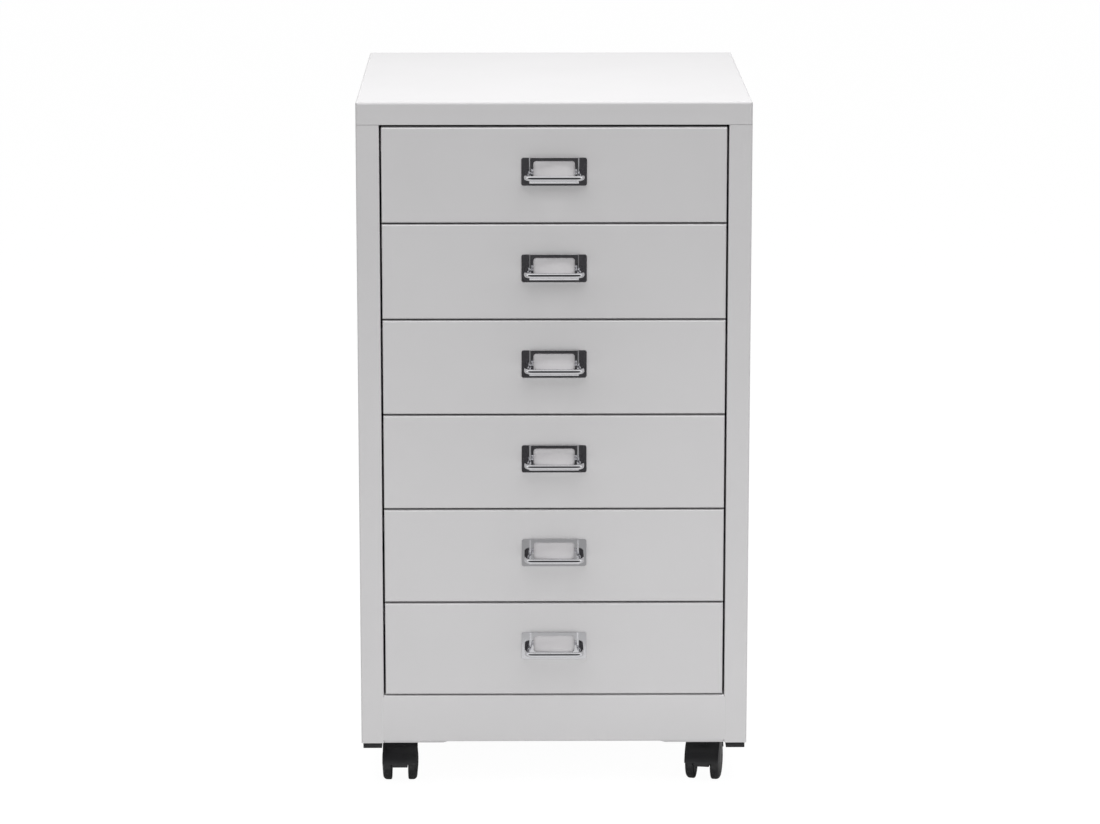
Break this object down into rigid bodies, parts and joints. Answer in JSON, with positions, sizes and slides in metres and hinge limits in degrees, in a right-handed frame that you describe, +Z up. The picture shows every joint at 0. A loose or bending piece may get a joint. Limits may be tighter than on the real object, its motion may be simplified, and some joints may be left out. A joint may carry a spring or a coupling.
{
  "type": "small metal drawer cabinet",
  "caption": "Narrow sheet-steel drawer cabinet with equal flush drawers, wire pulls over card holders, and twin-wheel swivel castors.",
  "frame": {"origin": "on the floor under the middle of the whole outline, pulls and rear screw heads included", "axes": "+Z up along the height, the front with the drawers faces -Y, +X to the right seen from the front"},
  "size_m": [0.38, 0.4292, 0.685],
  "materials": {
    "case_paint": "fine-textured light grey powder coat",
    "drawer_paint": "fine-textured light grey powder coat",
    "tray_paint": "satin light grey powder coat",
    "zinc_plated_steel": "bright zinc plate",
    "chrome": "bright chrome plate",
    "card": "matt blank card",
    "black_plastic": "matt moulded plastic",
    "black_nylon": "satin moulded nylon",
    "black_wheel": "satin moulded nylon"
  },
  "bodies": {
    "case": {"top_panel": "case_paint", "left_side_panel": "case_paint", "right_side_panel": "case_paint", "back_panel": "case_paint", "base_panel": "case_paint", "plinth_rail": "case_paint", "rear_uprights": "zinc_plated_steel", "left_runners": "zinc_plated_steel", "right_runners": "zinc_plated_steel", "castor_plates": "case_paint", "castor_stems": "zinc_plated_steel", "castor_nuts": "zinc_plated_steel", "foot_caps": "black_plastic", "back_screws": "zinc_plated_steel"},
    "drawer_1": {"drawer_1_tray": "tray_paint", "drawer_1_front": "drawer_paint", "drawer_1_label_plate": "chrome", "drawer_1_pull": "chrome", "drawer_1_card": "card"},
    "drawer_2": {"drawer_2_tray": "tray_paint", "drawer_2_front": "drawer_paint", "drawer_2_label_plate": "chrome", "drawer_2_pull": "chrome", "drawer_2_card": "card"},
    "drawer_3": {"drawer_3_tray": "tray_paint", "drawer_3_front": "drawer_paint", "drawer_3_label_plate": "chrome", "drawer_3_pull": "chrome", "drawer_3_card": "card"},
    "drawer_4": {"drawer_4_tray": "tray_paint", "drawer_4_front": "drawer_paint", "drawer_4_label_plate": "chrome", "drawer_4_pull": "chrome", "drawer_4_card": "card"},
    "drawer_5": {"drawer_5_tray": "tray_paint", "drawer_5_front": "drawer_paint", "drawer_5_label_plate": "chrome", "drawer_5_pull": "chrome", "drawer_5_card": "card"},
    "drawer_6": {"drawer_6_tray": "tray_paint", "drawer_6_front": "drawer_paint", "drawer_6_label_plate": "chrome", "drawer_6_pull": "chrome", "drawer_6_card": "card"},
    "front_left_castor": {"front_left_castor_hood": "black_nylon", "front_left_castor_axle": "zinc_plated_steel"},
    "front_left_castor_left_wheel": {"front_left_castor_left_wheel": "black_wheel"},
    "front_left_castor_right_wheel": {"front_left_castor_right_wheel": "black_wheel"},
    "front_right_castor": {"front_right_castor_hood": "black_nylon", "front_right_castor_axle": "zinc_plated_steel"},
    "front_right_castor_left_wheel": {"front_right_castor_left_wheel": "black_wheel"},
    "front_right_castor_right_wheel": {"front_right_castor_right_wheel": "black_wheel"},
    "rear_left_castor": {"rear_left_castor_hood": "black_nylon", "rear_left_castor_axle": "zinc_plated_steel"},
    "rear_left_castor_left_wheel": {"rear_left_castor_left_wheel": "black_wheel"},
    "rear_left_castor_right_wheel": {"rear_left_castor_right_wheel": "black_wheel"},
    "rear_right_castor": {"rear_right_castor_hood": "black_nylon", "rear_right_castor_axle": "zinc_plated_steel"},
    "rear_right_castor_left_wheel": {"rear_right_castor_left_wheel": "black_wheel"},
    "rear_right_castor_right_wheel": {"rear_right_castor_right_wheel": "black_wheel"}
  },
  "joints": [
    {"name": "drawer_1_slide", "type": "slide", "parent": "case", "child": "drawer_1", "axis": [0, -1, 0], "range_m": [0, 0.3004]},
    {"name": "drawer_2_slide", "type": "slide", "parent": "case", "child": "drawer_2", "axis": [0, -1, 0], "range_m": [0, 0.3004]},
    {"name": "drawer_3_slide", "type": "slide", "parent": "case", "child": "drawer_3", "axis": [0, -1, 0], "range_m": [0, 0.3004]},
    {"name": "drawer_4_slide", "type": "slide", "parent": "case", "child": "drawer_4", "axis": [0, -1, 0], "range_m": [0, 0.3004]},
    {"name": "drawer_5_slide", "type": "slide", "parent": "case", "child": "drawer_5", "axis": [0, -1, 0], "range_m": [0, 0.3004]},
    {"name": "drawer_6_slide", "type": "slide", "parent": "case", "child": "drawer_6", "axis": [0, -1, 0], "range_m": [0, 0.3004]},
    {"name": "front_left_castor_swivel", "type": "hinge", "parent": "case", "child": "front_left_castor", "pos_m": [-0.153, -0.1316, 0.0485], "axis": [0, 0, 1], "continuous": true},
    {"name": "front_left_castor_left_wheel_spin", "type": "hinge", "parent": "front_left_castor", "child": "front_left_castor_left_wheel", "pos_m": [-0.153, -0.1476, 0.02], "axis": [1, 0, 0], "continuous": true},
    {"name": "front_left_castor_right_wheel_spin", "type": "hinge", "parent": "front_left_castor", "child": "front_left_castor_right_wheel", "pos_m": [-0.153, -0.1476, 0.02], "axis": [1, 0, 0], "continuous": true},
    {"name": "front_right_castor_swivel", "type": "hinge", "parent": "case", "child": "front_right_castor", "pos_m": [0.153, -0.1316, 0.0485], "axis": [0, 0, 1], "continuous": true},
    {"name": "front_right_castor_left_wheel_spin", "type": "hinge", "parent": "front_right_castor", "child": "front_right_castor_left_wheel", "pos_m": [0.15022, -0.14736, 0.02], "axis": [0.9848, -0.1736, 0], "continuous": true},
    {"name": "front_right_castor_right_wheel_spin", "type": "hinge", "parent": "front_right_castor", "child": "front_right_castor_right_wheel", "pos_m": [0.15022, -0.14736, 0.02], "axis": [0.9848, -0.1736, 0], "continuous": true},
    {"name": "rear_left_castor_swivel", "type": "hinge", "parent": "case", "child": "rear_left_castor", "pos_m": [-0.153, 0.1564, 0.0485], "axis": [0, 0, 1], "continuous": true},
    {"name": "rear_left_castor_left_wheel_spin", "type": "hinge", "parent": "rear_left_castor", "child": "rear_left_castor_left_wheel", "pos_m": [-0.153, 0.1404, 0.02], "axis": [1, 0, 0], "continuous": true},
    {"name": "rear_left_castor_right_wheel_spin", "type": "hinge", "parent": "rear_left_castor", "child": "rear_left_castor_right_wheel", "pos_m": [-0.153, 0.1404, 0.02], "axis": [1, 0, 0], "continuous": true},
    {"name": "rear_right_castor_swivel", "type": "hinge", "parent": "case", "child": "rear_right_castor", "pos_m": [0.153, 0.1564, 0.0485], "axis": [0, 0, 1], "continuous": true},
    {"name": "rear_right_castor_left_wheel_spin", "type": "hinge", "parent": "rear_right_castor", "child": "rear_right_castor_left_wheel", "pos_m": [0.153, 0.1404, 0.02], "axis": [1, 0, 0], "continuous": true},
    {"name": "rear_right_castor_right_wheel_spin", "type": "hinge", "parent": "rear_right_castor", "child": "rear_right_castor_right_wheel", "pos_m": [0.153, 0.1404, 0.02], "axis": [1, 0, 0], "continuous": true}
  ]
}
